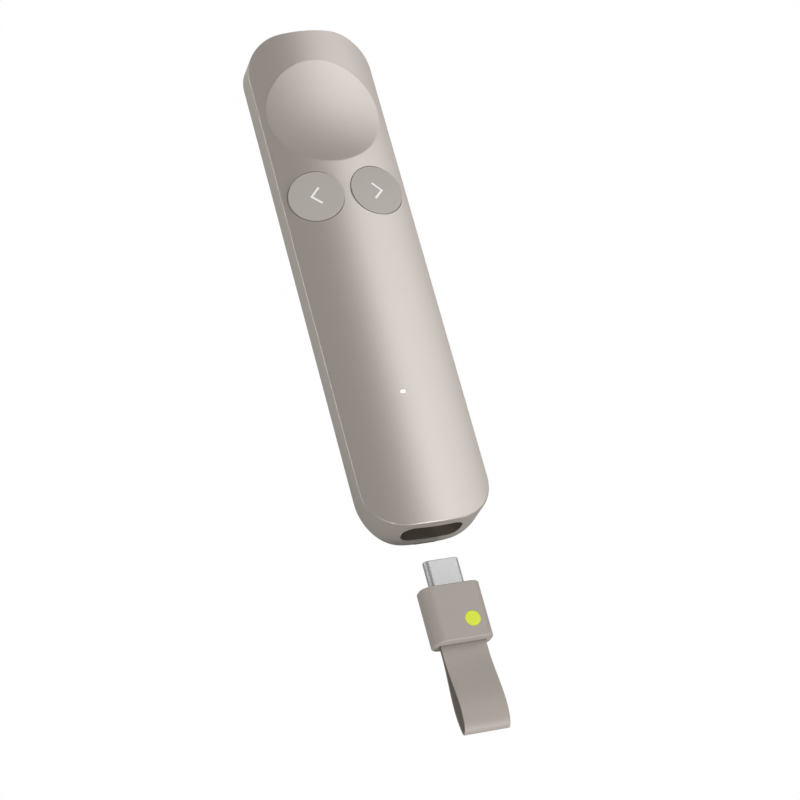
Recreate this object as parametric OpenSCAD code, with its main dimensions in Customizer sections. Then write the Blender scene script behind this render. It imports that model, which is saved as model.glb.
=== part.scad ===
// Presentation clicker: a slim hand remote with a dished thumb button, two keys, a status
// light and a dock in its tail, and the receiver that lives in that dock.
// Lengths are millimetres. +Y runs from the tail to the dish end, +Z out of the front,
// and the origin lies on the flat of the back, half way along the body.

/* [Body] */
// Width across the side walls
body_w = 30.4; // [29.6:0.1:33]
// Length from the tail to the dish end
body_l = 128; // [126:1:140]
// Height of the upright side walls
side_h = 5.7; // [5.5:0.1:7]
// Radius of the crowned front face, across the width
crown_r = 38; // [36:0.5:45]
// Radius of the crowned back face, across the width
back_r = 29.5; // [28:0.5:31]
// Width of the flat that the clicker rests on
rest_w = 9; // [6:0.5:12]
// Corner radius of the outline
corner_r = 10; // [8:0.5:11]
// Radius of the bowed ends of the outline
end_r = 72; // [50:1:120]
// Wall thickness of both covers
wall = 1.4; // [1.2:0.05:1.5]
// Gap between the top cover and the back cover
seam = 0.1; // [0.06:0.02:0.2]
// Thickness of the back cover's lip
lip_t = 0.9; // [0.7:0.1:1]
// Width of the pry slot at the tail
pry_w = 5.2; // [4:0.2:8]
// Height of the pry slot
pry_h = 0.65; // [0.5:0.05:0.9]

/* [Dish button] */
// Radius of the dished button
dish_r = 13.84; // [12.5:0.02:14]
// Depth of the dish below its rim
dish_depth = 1.45; // [1:0.05:1.8]
// Distance from the dish end to the dish centre
dish_in = 22; // [21:0.5:25]
// Running gap around the dished button
dish_gap = 0.06; // [0.05:0.01:0.1]
// Travel of the dished button
dish_travel = 0.3; // [0.15:0.05:0.35]

/* [Keys] */
// Radius of the back and next keys
key_r = 6.5; // [5.5:0.1:6.7]
// Distance from the centre line to each key
key_x = 7.4; // [7.2:0.1:7.6]
// Distance from the dish centre to the keys
key_down = 22.1; // [21.6:0.1:24]
// Sideways slope of each key's face, in degrees
key_tilt = 11; // [8:0.5:13]
// How far each key's centre lies below the crown
key_sink = 0.38; // [0.2:0.02:0.5]
// Running gap around each key
key_gap = 0.14; // [0.08:0.01:0.2]
// Travel of each key
key_travel = 0.35; // [0.2:0.05:0.4]
// Height of each chevron
chevron_h = 3.9; // [3:0.1:5]
// Length of each chevron from its ends to its tip
chevron_l = 2.1; // [1.5:0.1:3]
// Stroke width of each chevron
chevron_w = 0.36; // [0.3:0.02:0.6]
// Thickness of each chevron inlay
chevron_t = 0.2; // [0.15:0.05:0.4]

/* [Status light] */
// Length of the light's window, across the body
window_l = 1.5; // [1.2:0.1:2]
// Width of the light's window
window_w = 0.9; // [0.7:0.05:1.1]
// Distance from the tail to the light
light_up = 32; // [31:0.5:33]

/* [Inside] */
// Thickness of the chassis plate
plate_t = 1; // [0.8:0.1:1.1]
// How far the chassis plate lies below the top of the side walls
plate_drop = 0.6; // [0.5:0.05:0.9]
// Thickness of the main board
board_t = 0.8; // [0.6:0.1:1]
// Side of the square switches
switch_s = 4.6; // [4:0.1:5.2]
// Height of the switches
switch_h = 1.4; // [1.3:0.05:1.6]
// Height of the plungers above the switches
plunger_out = 0.4; // [0.35:0.05:0.5]
// Radius of the button stems
stem_r = 1.5; // [1.2:0.1:1.8]
// Battery length
battery_l = 40; // [30:1:44]
// Battery width
battery_w = 17; // [14:0.5:17.5]
// Battery thickness
battery_t = 2.3; // [2:0.1:2.4]
// Radius of the vibration motor
motor_r = 4; // [3.5:0.1:4.2]
// Height of the vibration motor
motor_h = 2.7; // [2:0.1:3]
// Radius of the screw shanks
screw_r = 0.75; // [0.6:0.05:0.85]
// Length of the radio's shield
shield_l = 12; // [9:0.5:13]
// Width of the radio's shield
shield_w = 10; // [8:0.5:12]
// Side of the control chip
chip_s = 6; // [4:0.5:7]
// Side of the motion sensor
sensor_s = 3; // [2:0.5:4]

/* [Receiver] */
// Receiver width
receiver_w = 14; // [13:0.1:15]
// Receiver thickness
receiver_t = 6.5; // [6:0.1:6.8]
// Receiver length without its plug
receiver_l = 13.15; // [12:0.05:15]
// Corner radius of the receiver's section
receiver_r = 2.6; // [2:0.1:2.9]
// Wall thickness of the receiver
receiver_wall = 0.9; // [0.8:0.05:1]
// Distance that the receiver stands pulled out of its dock
pulled = 26.65; // [22:0.05:40]
// Clearance between the receiver and its dock
dock_gap = 0.15; // [0.1:0.01:0.25]
// Wall thickness of the dock's sleeve at the tail
sleeve_lip = 0.2; // [0.15:0.01:0.3]
// Wall thickness of the dock's sleeve inside
sleeve_wall = 0.8; // [0.7:0.05:1]
// Diameter of the coloured dot on the receiver
dot_d = 3.6; // [3:0.1:4]

/* [Plug and socket] */
// Width of the plug's shell
plug_w = 8.25; // [8.2:0.01:8.3]
// Thickness of the plug's shell
plug_t = 2.4; // [2.35:0.01:2.45]
// Length of the plug outside the receiver
plug_l = 6.65; // [6.5:0.05:6.8]
// Sheet thickness of the plug and the socket
sheet = 0.3; // [0.25:0.01:0.32]
// Clearance between the plug and the socket
plug_gap = 0.06; // [0.04:0.01:0.08]
// Width of the socket's tongue
tongue_w = 6.6; // [6.4:0.05:6.7]
// Thickness of the socket's tongue
tongue_t = 0.7; // [0.6:0.05:0.75]

/* [Strap] */
// Width of the strap
strap_w = 10.6; // [9:0.1:11]
// Thickness of the strap
strap_t = 0.7; // [0.6:0.05:0.8]
// Length of the loop outside the receiver
loop_l = 20.2; // [16:0.2:30]
// Radius of the pin that holds the strap
pin_r = 0.6; // [0.5:0.05:0.7]

/* [Hidden] */
$fn = 96;

// small clearances
fit_gap = 0.05;
slack = 0.1;
over = 1;

// levels of the body, worked out from its section
crown_rise = crown_r - sqrt(crown_r^2 - (body_w / 2)^2);
back_rise = back_r - sqrt(back_r^2 - (body_w / 2)^2);
rest_cut = back_r - sqrt(back_r^2 - (rest_w / 2)^2);
low_edge_z = back_rise - rest_cut;
high_edge_z = low_edge_z + side_h;
body_t = high_edge_z + crown_rise;
crown_c = body_t - crown_r;
back_c = back_r - rest_cut;
function crown_z(x) = crown_c + sqrt(crown_r^2 - x^2);
function ceiling_z(x) = crown_c + sqrt((crown_r - wall)^2 - x^2);
function floor_z(x) = back_c - sqrt((back_r - wall)^2 - x^2);

// outline of the body: straight sides, round corners and bowed ends
corner_x = body_w / 2 - corner_r;
end_c = body_l / 2 - end_r;
corner_y = end_c + sqrt((end_r - corner_r)^2 - corner_x^2);
corner_turn = atan2(corner_y - end_c, corner_x);

// places along the body
tail_y = -body_l / 2;
dish_y = body_l / 2 - dish_in;
key_y = dish_y - key_down;
light_y = tail_y + light_up;

// chassis, board and screws
inner_x = body_w / 2 - wall;
plate_z = high_edge_z - plate_drop;
plate_low_z = plate_z - plate_t;
board_z = plate_low_z - plunger_out - switch_h;
board_low_z = board_z - board_t;
chassis_inset = wall + 1.6;
board_inset = wall + 1.2;
rib_t = 1;
lip_z = board_low_z - slack;
boss_r = 1.5;
shoulder_r = 1.9;
head_r = 1.3;
head_h = 1;
boss_in = 0.7;
top_boss_in = 1.9;
end_boss_in = 4.2;
mid_boss_down = 4;
tail_boss_up = 3.1;
boss_x = inner_x - shoulder_r - boss_in;
top_boss_x = boss_x - top_boss_in;
top_boss_y = body_l / 2 - wall - end_boss_in;
mid_boss_y = key_y - key_r - boss_r - mid_boss_down;

// buttons
dish_low_z = plate_z + dish_travel + 0.1;
key_low_z = plate_z + key_travel + slack;
hole_low_z = plate_z - slack;
tab_out = 0.9;
dish_tab_w = 6;
key_tab_w = 3;
tab_t = 0.5;
plunger_r = 1;
plunger_in = 0.6;

// dock, receiver and plug
dock_z = body_t / 2;
sleeve_w = receiver_w + 2 * dock_gap;
sleeve_t = receiver_t + 2 * dock_gap;
sleeve_r = receiver_r + dock_gap;
dock_depth = receiver_l + dock_gap;
end_wall = 1;
ear_t = 1.2;
ear_y = tail_y + dock_depth + end_wall;
tail_boss_y = ear_y + tail_boss_up;
socket_l = plug_l + 0.7;
socket_y = tail_y + receiver_l + 0.3;
socket_end_y = socket_y + socket_l;
socket_in_w = plug_w + 2 * plug_gap;
socket_in_t = plug_t + 2 * plug_gap;
socket_w = socket_in_w + 2 * sheet;
socket_t = socket_in_t + 2 * sheet;
tongue_l = 4.4;
receiver_end_y = tail_y - pulled;
receiver_face_y = receiver_end_y + receiver_l;
face_t = 1.2;
plug_root_y = receiver_face_y - 2;
plug_tip_y = receiver_face_y + plug_l;
neck = strap_t / 2 + 0.03;
belly = 1.46;
lean = 0.75;
slit_h = 2 * (neck + strap_t / 2) + 0.24;
slit_w = strap_w + 0.3;
pin_y = receiver_end_y + 2.6;
receiver_board_t = 0.8;
receiver_board_l = 7;

// the coloured dot, in the receiver's front
dot_x = 2.7;
dot_y = receiver_end_y + 4.4;
dot_t = 0.2;

// battery, under the board, half way between the socket and the keys
battery_y = (socket_end_y + key_y) / 2;
tape_t = 0.2;
tape_in = 1;
battery_end_y = battery_y + battery_l / 2;
connector_w = 4;
connector_l = 3;
connector_t = 1.2;
lead_l = 3;
lead_x = 1;
connector_y = battery_end_y + lead_l;
lead_r = 0.35;

// small parts on the board, evenly spaced between the middle screws and the light
led_w = 1.6;
led_l = 0.8;
led_t = 0.5;
chip_t = 0.9;
shield_t = 1.5;
antenna_w = 7;
antenna_l = 2;
chip_gap = (mid_boss_y - light_y - shield_l - chip_s - sensor_s) / 4;
shield_y = mid_boss_y - chip_gap - shield_l / 2;
chip_y = shield_y - shield_l / 2 - chip_gap - chip_s / 2;
sensor_y = chip_y - chip_s / 2 - chip_gap - sensor_s / 2;
motor_off = 2.3;
motor_y = light_y - motor_r - motor_off;
ear_l = 6;
chassis_gap = 1.5;
chassis_y = ear_y + ear_l + chassis_gap;
stem_z = board_z + switch_h + plunger_out;
travel_room = max(dish_travel, key_travel) + slack;

// points on an arc, from angle a0 to a1 in n steps
function arc(centre, r, a0, a1, n) =
    [for (i = [0:n]) let (a = a0 + (a1 - a0) * i / n) centre + r * [cos(a), sin(a)]];
function inner_points(points) = [for (i = [1:len(points) - 2]) points[i]];

function half_outline(inset) = concat(
    arc([corner_x, corner_y], corner_r - inset, 0, corner_turn, 16),
    inner_points(arc([0, end_c], end_r - inset, corner_turn, 180 - corner_turn, 16)),
    arc([-corner_x, corner_y], corner_r - inset, 180 - corner_turn, 180, 16));

module outline(inset = 0) {
    half = half_outline(inset);
    polygon(concat(half, -half));
}

// a rectangle with round corners, centred
function round_rect(w, t, r) = concat(
    arc([w / 2 - r, t / 2 - r], r, 0, 90, 10),
    arc([r - w / 2, t / 2 - r], r, 90, 180, 10),
    arc([r - w / 2, r - t / 2], r, 180, 270, 10),
    arc([w / 2 - r, r - t / 2], r, 270, 360, 10));

module prism(inset, low, high) {
    translate([0, 0, low]) linear_extrude(high - low) outline(inset);
}

module lengthwise(radius, centre_z) {
    translate([0, 0, centre_z]) rotate([90, 0, 0])
        cylinder(r = radius, h = body_l + 2 * over, center = true, $fn = 360);
}

// the whole body as one solid, shrunk on every side by inset
module body_form(inset = 0) {
    intersection() {
        prism(inset, inset, body_t);
        lengthwise(crown_r - inset, crown_c);
        lengthwise(back_r - inset, back_c);
    }
}

// a bar along Y at the height of the dock, with round corners in its section
module bar(w, t, r, y0, y1) {
    translate([0, y1, dock_z]) rotate([90, 0, 0])
        linear_extrude(y1 - y0) polygon(round_rect(w, t, r));
}

// a bar with square corners, from y0 to y1
module block(w, y0, y1, z0, z1) {
    translate([-w / 2, y0, z0]) cube([w, y1 - y0, z1 - z0]);
}

module post(x, y, r, z0, z1) {
    translate([x, y, z0]) cylinder(r = r, h = z1 - z0);
}

// one screw boss at each place, with the height of its shoulder
bosses = [for (sx = [-1, 1]) each [
    [sx * boss_x, tail_boss_y, board_z + ear_t],
    [sx * boss_x, mid_boss_y, plate_z],
    [sx * top_boss_x, top_boss_y, plate_z]]];

// ---- covers ----

module cavity() {
    intersection() {
        prism(wall, -over, body_t);
        lengthwise(crown_r - wall, crown_c);
    }
}

module cover_bosses() {
    intersection() {
        for (b = bosses) {
            post(b[0], b[1], shoulder_r, b[2], body_t);
            post(b[0], b[1], boss_r, board_z, body_t);
        }
        body_form(wall / 2);
    }
}

module window(grow = 0, low = 0) {
    translate([0, light_y, low]) linear_extrude(body_t + over - low)
        polygon(round_rect(window_l + 2 * grow, window_w + 2 * grow, window_w / 2 + grow - 0.01));
}

module top_cover() {
    color([0.67, 0.64, 0.61])
    difference() {
        union() {
            difference() {
                body_form();
                cavity();
            }
            cover_bosses();
        }
        for (b = bosses)
            post(b[0], b[1], screw_r + fit_gap, -over, ceiling_z(b[0]) + wall / 3);
        post(0, dish_y, dish_r + dish_gap, hole_low_z, body_t + over);
        for (sx = [-1, 1])
            post(sx * key_x, key_y, key_r + key_gap, hole_low_z, body_t + over);
        window(fit_gap, plate_z);
        bar(sleeve_w + 2 * sleeve_lip + 2 * fit_gap, sleeve_t + 2 * sleeve_lip + 2 * fit_gap,
            sleeve_r + sleeve_lip + fit_gap, tail_y - over, tail_y + wall + over);
        block(pry_w, tail_y - over, tail_y + wall + over, -over, pry_h);
    }
}

module back_cover() {
    color([0.64, 0.61, 0.58]) {
        difference() {
            intersection() {
                prism(wall + seam, 0, lip_z);
                lengthwise(back_r, back_c);
            }
            intersection() {
                prism(wall + seam + lip_t, 0, body_t);
                lengthwise(back_r - wall, back_c);
            }
            bar(sleeve_w + 2 * sleeve_wall + 2 * slack, sleeve_t + 2 * sleeve_wall + 2 * slack,
                sleeve_r + sleeve_wall + slack, tail_y - over, ear_y);
        }
        pry_lip();
    }
}

// the thin edge that the pry slot leaves bare
module pry_lip() {
    intersection() {
        block(pry_w - 2 * seam, tail_y, tail_y + wall + 2 * seam, 0, pry_h / 3);
        prism(slack, 0, body_t);
    }
}

// ---- chassis and board ----

module chassis() {
    color([0.2, 0.2, 0.21])
    difference() {
        intersection() {
            union() {
                prism(chassis_inset, plate_low_z, plate_z);
                difference() {
                    prism(chassis_inset, board_z, plate_low_z + fit_gap);
                    prism(chassis_inset + rib_t, board_z - over, plate_z + over);
                }
            }
            block(body_w, chassis_y, body_l, 0, body_t);
        }
        for (b = bosses)
            post(b[0], b[1], boss_r + slack, 0, body_t);
        post(0, dish_y, stem_r + dish_gap, 0, body_t);
        for (sx = [-1, 1])
            post(sx * key_x, key_y, stem_r + dish_gap, 0, body_t);
        post(0, light_y, window_w / 2 + fit_gap, 0, body_t);
        post(0, motor_y, motor_r + slack, 0, body_t);
    }
}

module main_board() {
    color([0.1, 0.35, 0.2])
    difference() {
        intersection() {
            prism(board_inset, board_low_z, board_z);
            block(body_w, ear_y, body_l, 0, body_t);
        }
        for (b = bosses)
            post(b[0], b[1], screw_r + slack, 0, body_t);
        block(socket_w + 2 * slack, ear_y - over, socket_end_y + slack, 0, body_t);
    }
}

module screws() {
    color([0.75, 0.75, 0.77])
    for (b = bosses) difference() {
        union() {
            post(b[0], b[1], head_r, board_low_z - head_h, board_low_z);
            post(b[0], b[1], screw_r, board_low_z - head_h / 2, ceiling_z(b[0]));
        }
        translate([b[0], b[1], board_low_z - head_h]) cube([2.6 * head_r, 0.4, head_h], center = true);
        translate([b[0], b[1], board_low_z - head_h]) cube([0.4, 2.6 * head_r, head_h], center = true);
    }
}

// ---- buttons ----

// the hollow of the dish: a wide groove turned about an axis across the body, whose bottom
// follows the crown from side to side
module dish_cutter() {
    axis_r = (dish_r^2 + dish_depth^2) / (2 * dish_depth);
    sag = body_t - crown_z(dish_r) - dish_depth;
    tube_r = (dish_r^2 + sag^2) / (2 * sag);
    translate([0, dish_y, body_t - dish_depth + axis_r]) rotate([0, 90, 0])
        rotate_extrude($fn = 360) difference() {
            translate([0, -dish_r - over]) square([axis_r + 2 * over, 2 * dish_r + 2 * over]);
            translate([axis_r + tube_r, 0]) circle(tube_r, $fn = 720);
        }
}

module dish_button() {
    hollow_z = body_t - dish_depth - wall;
    tab_z = ceiling_z(dish_tab_w / 2) - slack;
    color([0.69, 0.66, 0.63])
    difference() {
        union() {
            difference() {
                post(0, dish_y, dish_r, dish_low_z, body_t);
                post(0, dish_y, dish_r * 0.6, dish_low_z - over, hollow_z);
            }
            post(0, dish_y, stem_r, stem_z, hollow_z + over / 4);
            translate([0, dish_y, 0])
                block(dish_tab_w, -dish_r - tab_out, -dish_r + tab_out, tab_z - tab_t, tab_z);
            translate([0, dish_y, 0])
                block(dish_tab_w, dish_r - tab_out, dish_r + tab_out, tab_z - tab_t, tab_z);
        }
        dish_cutter();
    }
}

// turns what follows into the sloping plane of a key's face, on side sx
module key_plane(sx) {
    translate([sx * key_x, key_y, crown_z(key_x) - key_sink]) rotate([0, sx * key_tilt, 0])
        children();
}

module chevron(grow, depth) {
    leg = [chevron_l, chevron_h / 2];
    across = chevron_w / 2 + grow;
    nose = across * norm(leg) / leg[1];
    tail = across * norm(leg) / leg[0];
    ends = -chevron_l * 0.4;
    tip = ends + chevron_l;
    translate([0, 0, -depth]) linear_extrude(depth + grow)
        polygon([[tip + nose, 0], [ends, chevron_h / 2 + tail], [ends - nose, chevron_h / 2],
            [tip - nose, 0], [ends - nose, -chevron_h / 2], [ends, -chevron_h / 2 - tail]]);
}

module key(sx) {
    tab_z = ceiling_z(key_x + key_tab_w / 2) - slack;
    color([0.66, 0.64, 0.61])
    difference() {
        union() {
            post(sx * key_x, key_y, key_r, key_low_z, body_t + over);
            post(sx * key_x, key_y, stem_r, stem_z, key_low_z + over / 4);
            translate([sx * key_x, key_y, 0])
                block(key_tab_w, -key_r - tab_out, key_r + tab_out, tab_z - tab_t, tab_z);
        }
        key_plane(sx) translate([-2 * key_r, -2 * key_r, 0]) cube(4 * key_r);
        key_plane(sx) mirror([sx < 0 ? 1 : 0, 0, 0]) chevron(0.02, chevron_t + 0.02);
    }
}

module key_chevron(sx) {
    color([0.95, 0.95, 0.93])
    key_plane(sx) mirror([sx < 0 ? 1 : 0, 0, 0]) chevron(0, chevron_t);
}

module back_button() { key(-1); }
module next_button() { key(1); }
module back_chevron() { key_chevron(-1); }
module next_chevron() { key_chevron(1); }

module switch_body(x, y) {
    color([0.15, 0.15, 0.16])
    difference() {
        translate([x, y, 0]) block(switch_s, -switch_s / 2, switch_s / 2, board_z, board_z + switch_h);
        post(x, y, plunger_r + fit_gap, board_z + switch_h - plunger_in - travel_room, body_t);
    }
}

module plunger(x, y) {
    color([0.85, 0.82, 0.75])
    post(x, y, plunger_r, board_z + switch_h - plunger_in, stem_z);
}

module dish_switch() { switch_body(0, dish_y); }
module back_switch() { switch_body(-key_x, key_y); }
module next_switch() { switch_body(key_x, key_y); }
module dish_plunger() { plunger(0, dish_y); }
module back_plunger() { plunger(-key_x, key_y); }
module next_plunger() { plunger(key_x, key_y); }

// ---- status light ----

module light_pipe() {
    color([0.95, 0.97, 1])
    intersection() {
        union() {
            window(0, ceiling_z(0) - 0.3);
            post(0, light_y, window_l, ceiling_z(window_l) - 0.9, ceiling_z(window_l) - fit_gap);
            post(0, light_y, window_w / 2, board_z + led_t + fit_gap, body_t - wall);
        }
        lengthwise(crown_r, crown_c);
    }
}

module status_led() {
    color([1, 1, 0.9])
    translate([0, light_y, 0])
        block(led_w, -led_l / 2, led_l / 2, board_z, board_z + led_t);
}

// ---- electronics ----

module chip(w, l, t, y) {
    block(w, y - l / 2, y + l / 2, board_z, board_z + t);
}

module radio_shield() { color([0.8, 0.8, 0.82]) chip(shield_w, shield_l, shield_t, shield_y); }
module control_chip() { color([0.12, 0.12, 0.13]) chip(chip_s, chip_s, chip_t, chip_y); }
module motion_sensor() { color([0.2, 0.2, 0.22]) chip(sensor_s, sensor_s, chip_t, sensor_y); }
module antenna() { color([0.9, 0.88, 0.8]) chip(antenna_w, antenna_l, chip_t, top_boss_y); }

module vibration_motor() {
    color([0.78, 0.78, 0.8])
    post(0, motor_y, motor_r, board_z, board_z + motor_h);
}

module battery_tape() {
    color([0.9, 0.9, 0.85])
    block(battery_w - 2 * tape_in, battery_y - battery_l / 2 + tape_in, battery_end_y - tape_in,
        board_low_z - tape_t, board_low_z);
}

module battery() {
    color([0.75, 0.76, 0.78])
    translate([0, 0, board_low_z - tape_t - battery_t]) linear_extrude(battery_t)
        translate([0, battery_y]) polygon(round_rect(battery_w, battery_l, 1));
}

module battery_connector() {
    color([0.93, 0.92, 0.88])
    block(connector_w, connector_y, connector_y + connector_l,
        board_low_z - connector_t, board_low_z);
}

module battery_leads() {
    for (sx = [-1, 1]) color(sx > 0 ? [0.8, 0.1, 0.1] : [0.1, 0.1, 0.1])
        translate([sx * lead_x, battery_end_y, board_low_z - connector_t / 2]) rotate([-90, 0, 0])
            cylinder(r = lead_r, h = connector_y - battery_end_y);
}

// ---- dock and socket ----

module dock_sleeve() {
    color([0.24, 0.21, 0.19])
    difference() {
        union() {
            intersection() {
                bar(sleeve_w + 2 * sleeve_lip, sleeve_t + 2 * sleeve_lip, sleeve_r + sleeve_lip,
                    tail_y, tail_y + wall + 2 * over);
                prism(slack, 0, body_t);
            }
            intersection() {
                bar(sleeve_w + 2 * sleeve_wall, sleeve_t + 2 * sleeve_wall, sleeve_r + sleeve_wall,
                    tail_y, ear_y);
                prism(wall + slack, 0, body_t);
                lengthwise(crown_r - wall - slack, crown_c);
            }
            for (sx = [-1, 1]) translate([sx * boss_x, 0, 0])
                block(2 * shoulder_r, ear_y - end_wall, ear_y + ear_l, board_z, board_z + ear_t);
            block(2 * boss_x, ear_y - end_wall, ear_y, board_z, board_z + ear_t);
        }
        bar(sleeve_w, sleeve_t, sleeve_r, tail_y - over, tail_y + dock_depth);
        bar(socket_w + 2 * fit_gap, socket_t + 2 * fit_gap, socket_t / 2, tail_y, ear_y + over);
        for (b = bosses) post(b[0], b[1], boss_r + slack, 0, body_t);
    }
}

module usb_socket_shell() {
    color([0.75, 0.75, 0.77])
    difference() {
        bar(socket_w, socket_t, socket_t / 2 - 0.02, socket_y, socket_end_y);
        bar(socket_in_w, socket_in_t, socket_in_t / 2 - 0.02, socket_y - over, socket_end_y - sheet);
    }
}

module usb_socket_tongue() {
    color([0.15, 0.15, 0.16])
    translate([0, 0, dock_z]) block(tongue_w, socket_end_y - sheet - tongue_l, socket_end_y - sheet,
        -tongue_t / 2, tongue_t / 2);
}

// ---- receiver ----

module receiver_housing() {
    color([0.62, 0.59, 0.56])
    difference() {
        bar(receiver_w, receiver_t, receiver_r, receiver_end_y, receiver_face_y);
        bar(receiver_w - 2 * receiver_wall, receiver_t - 2 * receiver_wall,
            receiver_r - receiver_wall, receiver_end_y + receiver_wall, receiver_face_y + over);
        translate([0, 0, dock_z])
            block(slit_w, receiver_end_y - over, receiver_end_y + 2 * receiver_wall,
                -slit_h / 2, slit_h / 2);
        dot(0.02, over);
    }
}

module dot(grow, up) {
    post(dot_x, dot_y, dot_d / 2 + grow, dock_z + receiver_t / 2 - dot_t - grow,
        dock_z + receiver_t / 2 + up);
}

module receiver_dot() { color([0.8, 0.9, 0.15]) dot(0, 0); }

module receiver_face() {
    color([0.55, 0.52, 0.5])
    difference() {
        bar(receiver_w - 2 * receiver_wall - 2 * fit_gap, receiver_t - 2 * receiver_wall - 2 * fit_gap,
            receiver_r - receiver_wall, receiver_face_y - face_t, receiver_face_y);
        bar(plug_w + 2 * fit_gap, plug_t + 2 * fit_gap, plug_t / 2,
            receiver_face_y - face_t - over, receiver_face_y + over);
    }
}

module plug_shell() {
    color([0.8, 0.8, 0.81])
    difference() {
        bar(plug_w, plug_t, plug_t / 2 - 0.02, plug_root_y, plug_tip_y);
        bar(plug_w - 2 * sheet, plug_t - 2 * sheet, plug_t / 2 - sheet - 0.02,
            plug_root_y + sheet, plug_tip_y + over);
    }
}

module plug_insert() {
    color([0.13, 0.13, 0.14])
    difference() {
        bar(plug_w - 2 * sheet - 2 * fit_gap, plug_t - 2 * sheet - 2 * fit_gap,
            plug_t / 2 - sheet - fit_gap - 0.02, plug_root_y + sheet, plug_tip_y - 0.2);
        translate([0, 0, dock_z]) block(tongue_w + 2 * slack, plug_tip_y - tongue_l - 1,
            plug_tip_y + over, -tongue_t / 2 - slack, tongue_t / 2 + slack);
    }
}

module receiver_board() {
    color([0.1, 0.35, 0.2])
    translate([0, 0, dock_z]) block(receiver_w - 2 * receiver_wall - 2, plug_root_y - receiver_board_l,
        plug_root_y, -receiver_board_t / 2, receiver_board_t / 2);
}

module receiver_chip() {
    color([0.12, 0.12, 0.13])
    translate([0, 0, dock_z + receiver_board_t / 2])
        block(4, plug_root_y - 5.5, plug_root_y - 1.5, 0, chip_t);
}

// half the spread of the strap's two layers, and how far the pair drifts towards the front,
// at a share s of the way from the receiver to the tip of the loop
function spread(s) = (neck + belly * s^1.3) * sqrt(1 - s^12);
function drift(s) = lean * s^2 * sqrt(1 - s^8);
function loop_point(s, side) = [-s * (loop_l - strap_t / 2), drift(s) + side * spread(s)];

// the middle line of the strap as a closed loop: round the pin, through the slit and back
strap_line = concat(
    [for (a = [0:5:85]) loop_point(sin(a), 1)],
    [loop_point(1, 1)],
    [for (a = [85:-5:0]) loop_point(sin(a), -1)],
    [[receiver_wall + slack, -neck]],
    arc([pin_y - receiver_end_y, 0], pin_r + fit_gap + strap_t / 2, -105, 105, 14),
    [[receiver_wall + slack, neck]]);

function strap_side(offset) = let (n = len(strap_line)) [for (i = [0:n - 1])
    let (step = strap_line[(i + 1) % n] - strap_line[(i + n - 1) % n], unit = step / norm(step))
    strap_line[i] + offset * [unit[1], -unit[0]]];

module strap() {
    color([0.6, 0.57, 0.54])
    translate([-strap_w / 2, receiver_end_y, dock_z]) rotate([90, 0, 90]) linear_extrude(strap_w)
        difference() {
            polygon(strap_side(strap_t / 2));
            polygon(strap_side(-strap_t / 2));
        }
}

module strap_pin() {
    color([0.75, 0.75, 0.77])
    translate([0, pin_y, dock_z]) rotate([0, 90, 0])
        cylinder(r = pin_r, h = receiver_w - 2 * receiver_wall, center = true);
}

top_cover();
back_cover();
chassis();
main_board();
dish_button();
dish_plunger();
dish_switch();
back_button();
back_chevron();
back_plunger();
back_switch();
next_button();
next_chevron();
next_plunger();
next_switch();
light_pipe();
status_led();
radio_shield();
control_chip();
motion_sensor();
antenna();
vibration_motor();
battery();
battery_tape();
battery_connector();
battery_leads();
dock_sleeve();
usb_socket_shell();
usb_socket_tongue();
screws();
receiver_housing();
receiver_face();
receiver_dot();
plug_shell();
plug_insert();
receiver_board();
receiver_chip();
strap();
strap_pin();
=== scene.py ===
from math import acos, atan2, cos, pi, radians, sin, sqrt, tan

import bpy
from mathutils import Matrix, Vector


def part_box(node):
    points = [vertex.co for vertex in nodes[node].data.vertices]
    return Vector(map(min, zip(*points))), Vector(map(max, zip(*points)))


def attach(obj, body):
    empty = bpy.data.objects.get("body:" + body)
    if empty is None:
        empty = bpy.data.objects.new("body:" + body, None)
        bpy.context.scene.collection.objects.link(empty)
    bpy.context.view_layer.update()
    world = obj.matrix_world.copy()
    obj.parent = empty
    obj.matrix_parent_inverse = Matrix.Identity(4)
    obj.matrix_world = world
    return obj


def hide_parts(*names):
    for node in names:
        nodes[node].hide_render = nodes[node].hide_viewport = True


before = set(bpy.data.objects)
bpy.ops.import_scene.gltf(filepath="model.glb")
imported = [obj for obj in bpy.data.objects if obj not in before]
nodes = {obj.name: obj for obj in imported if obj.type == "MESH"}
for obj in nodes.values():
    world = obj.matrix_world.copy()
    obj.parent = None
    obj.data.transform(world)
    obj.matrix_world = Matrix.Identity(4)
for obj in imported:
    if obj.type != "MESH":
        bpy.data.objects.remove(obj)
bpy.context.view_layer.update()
print("frame loaded:", len(nodes), "nodes")


def standAlone(piece):
    # the only selected object, and the active one
    bpy.ops.object.select_all(action="DESELECT")
    piece.select_set(True)
    bpy.context.view_layer.objects.active = piece


def selectFaces(piece, test):
    # picks faces in code, by their place or normal
    mesh = piece.data
    mesh.vertices.foreach_set("select", [False] * len(mesh.vertices))
    mesh.edges.foreach_set("select", [False] * len(mesh.edges))
    mesh.polygons.foreach_set("select", [bool(test(f)) for f in mesh.polygons])


def selectEdges(piece, test):
    # picks edges in code, from the two ends of each
    mesh = piece.data
    mesh.polygons.foreach_set("select", [False] * len(mesh.polygons))
    mesh.vertices.foreach_set("select", [False] * len(mesh.vertices))
    ends = [v.co for v in mesh.vertices]
    mesh.edges.foreach_set("select", [bool(test(ends[e.vertices[0]], ends[e.vertices[1]]))
                                      for e in mesh.edges])


def edit(piece, kind="EDGE"):
    bpy.context.view_layer.objects.active = piece
    bpy.ops.object.mode_set(mode="EDIT")
    bpy.ops.mesh.select_mode(type=kind)


def leave():
    bpy.ops.object.mode_set(mode="OBJECT")


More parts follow.
